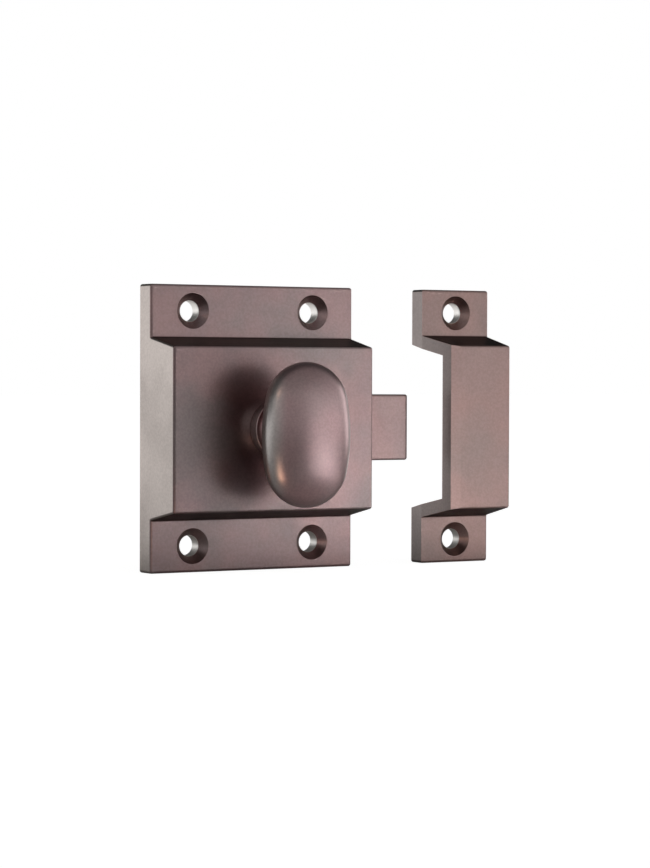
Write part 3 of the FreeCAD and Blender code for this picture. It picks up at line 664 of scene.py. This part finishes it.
@dataclass
class KnobAssembly:
    """The turning pieces: the knob with its neck, collar and spindle, the cam and its screw."""

    bronze: bpy.types.Material
    brass: bpy.types.Material
    steel: bpy.types.Material
    width: float = 16.4 * MM
    height: float = 25.2 * MM
    end: float = 7.7 * MM
    depth: float = 11.2 * MM
    reach: float = 28.4 * MM
    drop: float = 0.8 * MM
    neck: float = 3.8 * MM
    collar: float = 5.1 * MM
    rim: float = 5.4 * MM
    collar_back: float = 11.95 * MM
    collar_front: float = 14.75 * MM
    flare: float = 1.4 * MM
    rim_round: float = 0.18 * MM
    foot_round: float = 0.12 * MM
    spindle: float = 3.2 * MM
    spindle_end: float = 8.75 * MM
    square: float = 2.2 * MM
    square_end: float = 2.65 * MM
    tap: float = 1.25 * MM
    tap_end: float = 8.0 * MM
    collar_lean: float = -6.0
    around: int = 128
    end_points: int = 34
    side_points: int = 36
    flare_points: int = 14
    rim_points: int = 8
    foot_points: int = 7
    sharp_angle: float = 32.0

    def build(self) -> bpy.types.Object:
        """Make the knob from its egg and its turned shank, and let it stand in for the solid.

        Returns:
            The knob.
        """
        egg, shank = self.egg_mesh(), self.shank_mesh()
        knob = bpy.data.objects.new("knob_casting", self.joined(egg, shank))
        bpy.context.scene.collection.objects.link(knob)
        knob.data.materials.clear()
        knob.data.materials.append(self.bronze)
        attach(knob, Body.KNOB.value)
        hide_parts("knob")
        LOG.info("knob_casting has %d faces", len(knob.data.polygons))
        return knob

    def egg_mesh(self) -> bpy.types.Mesh:
        """Flattened egg: half an oval of three arcs turned about its long axis, its depth scaled down.

        At a turn a round the long axis, an outline point (h, z) goes to x = h cos a and
        y = h sin a times depth over width.

        Returns:
            The mesh.
        """
        rise = self.height / 2 - self.end
        side = (self.width ** 2 / 4 + rise ** 2 - self.end ** 2) / (self.width - 2 * self.end)
        swing = math.degrees(math.atan2(rise, side - self.width / 2))
        outline = np.concatenate((
            arc((0.0, -rise), self.end, -90.0, -swing, self.end_points)[1:-1],
            arc((self.width / 2 - side, 0.0), side, -swing, swing, self.side_points),
            arc((0.0, rise), self.end, swing, 90.0, self.end_points)[1:-1],
        ))
        turn = np.linspace(0.0, 2 * np.pi, self.around, endpoint=False) + np.pi / self.around
        middle = self.reach - self.depth / 2
        x = np.outer(outline[:, 0], np.cos(turn))
        y = np.outer(outline[:, 0], np.sin(turn)) * self.depth / self.width - middle
        z = np.repeat(outline[:, 1:], self.around, axis=1) - self.drop
        low = np.array((0.0, -middle, -self.height / 2 - self.drop))
        high = np.array((0.0, -middle, self.height / 2 - self.drop))
        return ring_mesh("knob_egg", np.stack((x, y, z), axis=-1), low, high)

    def shank_mesh(self) -> bpy.types.Mesh:
        """Neck, collar and spindle: a profile of radius and reach carried round the axis.

        The collar's two edges are small arcs. Below the spindle the section is a square, whose radius
        is half its width over the larger of the cosine and sine, with the tapped hole inside.

        Returns:
            The mesh.
        """
        inside = self.reach - self.depth / 2
        rim, foot, lean = self.rim_round, self.foot_round, self.collar_lean
        flare_middle = (self.neck + self.flare, self.collar_front + self.flare)
        turned = np.concatenate((
            [(self.neck, inside)],
            arc(flare_middle, self.flare, 180.0, 270.0, self.flare_points),
            arc((self.rim - rim, self.collar_front - rim), rim, 90.0, lean, self.rim_points),
            arc((self.collar - foot, self.collar_back + foot), foot, lean, -90.0, self.foot_points),
            [(self.spindle, self.collar_back), (self.spindle, self.spindle_end)],
        ))
        bore = np.array([(self.tap, self.square_end), (self.tap, self.tap_end)])
        turn = np.linspace(0.0, 2 * np.pi, self.around, endpoint=False)
        corner = self.square / np.maximum(np.abs(np.cos(turn)), np.abs(np.sin(turn)))
        radius = np.concatenate((
            np.repeat(turned[:, :1], self.around, axis=1),
            np.stack((corner, corner)),
            np.repeat(bore[:, :1], self.around, axis=1),
        ))
        out = np.concatenate((turned[:, 1], [self.spindle_end, self.square_end], bore[:, 1]))
        x, z = radius * np.cos(turn), -radius * np.sin(turn)
        y = np.repeat(-out[:, None], self.around, axis=1)
        top, floor = np.array((0.0, -inside, 0.0)), np.array((0.0, -self.tap_end, 0.0))
        return ring_mesh("knob_shank", np.stack((x, y, z), axis=-1), top, floor)

    def joined(self, first: bpy.types.Mesh, second: bpy.types.Mesh) -> bpy.types.Mesh:
        """Join two closed skins into one, smooth apart from true edges.

        Args:
            first: One skin.
            second: The other skin.

        Returns:
            The outer skin of both.
        """
        keep, add = (bpy.data.objects.new(mesh.name, mesh) for mesh in (first, second))
        for item in (keep, add):
            bpy.context.scene.collection.objects.link(item)
        union = keep.modifiers.new("union", "BOOLEAN")
        union.operation, union.solver, union.object = "UNION", "EXACT", add
        graph = bpy.context.evaluated_depsgraph_get()
        mesh = bpy.data.meshes.new_from_object(keep.evaluated_get(graph))
        for item in (keep, add):
            bpy.data.objects.remove(item)
        mesh.name = "knob_casting"
        mesh.polygons.foreach_set("use_smooth", np.ones(len(mesh.polygons), dtype=bool))
        mesh.set_sharp_from_angle(angle=math.radians(self.sharp_angle))
        return mesh

    def dress(self) -> None:
        """Finish the cam and its screw."""
        finish_solid("cam", self.brass)
        finish_solid("cam_screw", self.steel)


@dataclass
class StrikeAssembly:
    """The box strike beside the latch."""

    bronze: bpy.types.Material

    def dress(self) -> None:
        """Finish the strike."""
        finish_solid("strike", self.bronze)


@dataclass(frozen=True)
class SoftLamp:
    """A flat soft lamp that looks at one point, with a radiance of 1 for a white as bright as paper."""

    name: str
    azimuth: float
    elevation: float
    distance: float
    width: float
    height: float
    radiance: float
    colour: Colour = (1.0, 1.0, 1.0)
    target: Point = (0.0, -12.0 * MM, 0.0)
    spread: float = 180.0

    def build(self) -> bpy.types.Object:
        """Hang the lamp.

        Returns:
            The lamp, hidden from the camera itself.
        """
        data = bpy.data.lights.new(self.name, "AREA")
        data.shape = "RECTANGLE"
        data.size, data.size_y = self.width, self.height
        data.energy = self.radiance * math.pi * self.width * self.height
        data.color = self.colour
        data.spread = math.radians(self.spread)
        lamp = bpy.data.objects.new(self.name, data)
        away = direction(self.azimuth, self.elevation)
        lamp.location = Vector(self.target) + away * self.distance
        lamp.rotation_mode = "QUATERNION"
        lamp.rotation_quaternion = away.to_track_quat("Z", "Y")
        lamp.visible_camera = False
        bpy.context.scene.collection.objects.link(lamp)
        return lamp


def direction(azimuth: float, elevation: float) -> Vector:
    """Unit vector from the object towards a compass angle.

    Args:
        azimuth: Degrees, 0 in front of the door and 90 to the right.
        elevation: Degrees above the horizon.

    Returns:
        The vector.
    """
    turn, rise = math.radians(azimuth), math.radians(elevation)
    return Vector((math.sin(turn) * math.cos(rise), -math.cos(turn) * math.cos(rise), math.sin(rise)))


@dataclass
class Studio:
    """White backdrop, pale floor, soft lamps and the camera."""

    floor_reach: float = 3.0
    floor_gap: float = 0.05 * MM
    floor_colour: Colour = (0.80, 0.80, 0.80)
    floor_shade: Colour = (0.30, 0.30, 0.30)
    floor_white: float = 0.94
    floor_behind: Span = (25.0 * MM, 65.0 * MM)
    white: Colour = (1.0, 1.0, 1.0)
    front_level: float = 0.44
    side_level: float = 0.62
    back_level: float = 1.0
    top_front_level: float = 0.28
    top_back_level: float = 0.08
    behind_range: Span = (-0.10, 0.40)
    side_azimuth: float = 50.0
    side_range: Span = (0.20, 0.95)
    front_band: Span = (0.25, 0.90)
    back_band: Span = (0.04, 0.16)
    camera_target: Point = (13.55 * MM, -6.0 * MM, -1.13 * MM)
    camera_azimuth: float = -30.28
    camera_elevation: float = 1.35
    camera_roll: float = 0.20
    camera_distance: float = 478.4 * MM
    focal_pixels: float = 2650.0
    picture_height: float = 868.0
    sensor: float = 36.0
    clip: Span = (0.01, 20.0)
    lamps: tuple[SoftLamp, ...] = (
        SoftLamp("key_panel", azimuth=42.0, elevation=-5.0, distance=0.18, width=0.24, height=0.10,
                 radiance=0.49),
        SoftLamp("right_panel", azimuth=101.0, elevation=2.0, distance=0.30, width=0.12, height=0.20,
                 radiance=0.9, target=(0.008, -0.022, 0.0)),
        SoftLamp("rim_panel", azimuth=-150.0, elevation=-3.0, distance=0.45, width=0.30, height=0.30,
                 radiance=0.80),
        SoftLamp("floor_pool", azimuth=40.0, elevation=89.0, distance=0.40, width=0.05, height=0.05,
                 radiance=10.0, target=(0.075, -0.145, FLOOR), spread=24.0),
        SoftLamp("near_pool", azimuth=40.0, elevation=89.0, distance=0.11, width=0.05, height=0.05,
                 radiance=2.6, target=(0.062, -0.074, FLOOR), spread=60.0),
        SoftLamp("warm_high", azimuth=-85.0, elevation=28.0, distance=0.40, width=0.05, height=0.07,
                 radiance=2.2, colour=WARM, target=(-0.007, -0.025, 0.006)),
        SoftLamp("warm_low", azimuth=-73.0, elevation=-28.0, distance=0.028, width=0.009, height=0.012,
                 radiance=2.0, colour=WARM, target=(-0.0064, -0.0253, -0.0079)),
    )

    def build(self) -> None:
        """Put up the backdrop, the floor, the lamps and the camera."""
        bpy.context.scene.view_settings.view_transform = "Standard"
        self.hang_backdrop()
        self.lay_floor()
        for lamp in self.lamps:
            lamp.build()
        self.place_camera()

    def hang_backdrop(self) -> None:
        """Hang a backdrop that the camera sees as white.

        Light and gloss meet a band round the horizon, soft grey in front of the object, under a darker
        ceiling. Behind the object, metal shows the band as white.
        """
        world = bpy.data.worlds.new("backdrop")
        bpy.context.scene.world = world
        world.use_nodes = True
        sheet = NodeSheet(world.node_tree)
        looking = sheet.add("ShaderNodeTexCoord").outputs["Generated"]
        behind = sheet.ramp(sheet.dot(looking, (0.0, 1.0, 0.0)), *self.behind_range)
        right = sheet.ramp(sheet.dot(looking, tuple(direction(self.side_azimuth, 0.0))), *self.side_range)
        height = sheet.math("ABSOLUTE", sheet.dot(looking, (0.0, 0.0, 1.0)))
        front = sheet.ramp(right, 0.0, 1.0, self.front_level, self.side_level)
        back = sheet.ramp(self.mirrored(sheet), 0.0, 1.0, self.side_level, self.back_level)
        band = sheet.ramp(behind, 0.0, 1.0, front, back)
        top = sheet.ramp(behind, 0.0, 1.0, self.top_front_level, self.top_back_level)
        fade_from = sheet.ramp(behind, 0.0, 1.0, self.front_band[0], self.back_band[0])
        fade_to = sheet.ramp(behind, 0.0, 1.0, self.front_band[1], self.back_band[1])
        level = sheet.ramp(height, fade_from, fade_to, band, top)
        seen = sheet.add("ShaderNodeLightPath").outputs["Is Camera Ray"]
        strength = sheet.math("MAXIMUM", seen, level)
        background = sheet.add("ShaderNodeBackground", Color=self.white, Strength=strength)
        sheet.add("ShaderNodeOutputWorld", Surface=background.outputs[0])

    def mirrored(self, sheet: NodeSheet) -> bpy.types.NodeSocket:
        """Tell what metal or glass shows from what lights dull surfaces.

        Args:
            sheet: The sheet of the floor or the backdrop.

        Returns:
            1 for a ray of gloss or through glass, 0 for others.
        """
        path = sheet.add("ShaderNodeLightPath").outputs
        return sheet.math("MAXIMUM", path["Is Glossy Ray"], path["Is Transmission Ray"])

    def lay_floor(self) -> None:
        """Lay a pale floor, which the camera sees nearly white, with the object's faint shadow.

        Behind the object, where the floor is part of the background, metal shows it as white too.
        """
        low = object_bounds()[0].z - self.floor_gap
        reach = self.floor_reach
        corners = [(-reach, -reach, low), (reach, -reach, low), (reach, reach, low), (-reach, reach, low)]
        mesh = bpy.data.meshes.new("floor")
        mesh.from_pydata(corners, [], [(0, 1, 2, 3)])
        floor = bpy.data.objects.new("floor", mesh)
        bpy.context.scene.collection.objects.link(floor)
        material = bpy.data.materials.new("pale_floor")
        material.use_nodes = True
        sheet = NodeSheet(material.node_tree)
        plain = sheet.add("ShaderNodeBsdfDiffuse", Color=self.floor_colour)
        shade = sheet.add("ShaderNodeBsdfDiffuse", Color=self.floor_shade)
        white = sheet.add("ShaderNodeEmission", Color=self.white, Strength=self.floor_white)
        bright = sheet.tree.nodes.new("ShaderNodeAddShader")
        sheet.feed(bright.inputs[0], white.outputs[0])
        sheet.feed(bright.inputs[1], shade.outputs[0])
        choice = sheet.tree.nodes.new("ShaderNodeMixShader")
        behind = sheet.ramp(sheet.place().outputs["Y"], *self.floor_behind)
        seen = sheet.add("ShaderNodeLightPath").outputs["Is Camera Ray"]
        shown = sheet.math("MULTIPLY", self.mirrored(sheet), behind)
        sheet.feed(choice.inputs[0], sheet.math("MAXIMUM", seen, shown))
        sheet.feed(choice.inputs[1], plain.outputs[0])
        sheet.feed(choice.inputs[2], bright.outputs[0])
        sheet.add("ShaderNodeOutputMaterial", Surface=choice.outputs[0])
        mesh.materials.append(material)
        floor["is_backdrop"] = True

    def place_camera(self) -> None:
        """Stand the camera at the photographed angle and distance."""
        data = bpy.data.cameras.new("camera")
        data.sensor_width = self.sensor
        data.lens = self.focal_pixels / self.picture_height * self.sensor
        data.clip_start, data.clip_end = self.clip
        camera = bpy.data.objects.new("camera", data)
        back = direction(self.camera_azimuth, self.camera_elevation)
        place = Matrix.Translation(Vector(self.camera_target) + back * self.camera_distance)
        turn = back.to_track_quat("Z", "Y").to_matrix().to_4x4()
        camera.matrix_world = place @ turn @ Matrix.Rotation(math.radians(self.camera_roll), 4, "Z")
        bpy.context.scene.collection.objects.link(camera)
        bpy.context.scene.camera = camera


def main() -> None:
    """Build the studio and dress the latch, piece by piece."""
    logging.basicConfig(level=logging.INFO, format="%(name)s: %(message)s")
    Studio().build()
    brass = RolledBrass("rolled_brass").build()
    steel = ZincSteel("zinc_steel").build()
    # The case's tone along X is painted light, its darker raised face is painted shade, and its
    # near-white bores are a painted reflection.
    case_bronze = OiledBronze(
        "case_bronze", painted_light_reach=(-18.0 * MM, 20.0 * MM), painted_light_tones=(0.90, 1.14), face_shade_tone=0.70,
        edge_tint=DARK_EDGE, bores=Bores(middle=0.0, across=12.15 * MM, up=20.75 * MM))
    bolt_bronze = OiledBronze(
        "bolt_bronze", brown=(0.40, 0.262, 0.256), copper=(0.43, 0.272, 0.258), grey=(0.40, 0.290, 0.284),
        slope_shade_tone=1.0, shift=4.0)
    # The knob's pale sides are painted light, and its darker ends are painted shade.
    knob_bronze = OiledBronze(
        "knob_bronze", brown=(0.44, 0.300, 0.305), copper=(0.47, 0.308, 0.312), grey=(0.43, 0.326, 0.324),
        painted_side_colour=(0.52, 0.485, 0.470), side_axis=Axis.ACROSS, side_range=(0.55, 0.92),
        slope_shade_tone=0.80, slope_shade_range=(0.45, 0.95), shift=9.0)
    # The strike's dark sides are painted shade.
    strike_bronze = OiledBronze(
        "strike_bronze", brown=(0.345, 0.238, 0.222), copper=(0.375, 0.246, 0.226),
        grey=(0.325, 0.240, 0.224), painted_side_colour=(0.20, 0.176, 0.170), edge_tint=DARK_EDGE, shift=13.0,
        bores=Bores(middle=43.2 * MM, across=0.0, up=21.1 * MM))
    CaseAssembly(case_bronze.build(), brass, steel).dress()
    bolt = BoltAssembly(bolt_bronze.build(), steel)
    bolt.build()
    bolt.dress()
    knob = KnobAssembly(knob_bronze.build(), brass, steel)
    knob.build()
    knob.dress()
    StrikeAssembly(strike_bronze.build()).dress()


if __name__ == "__main__":
    main()
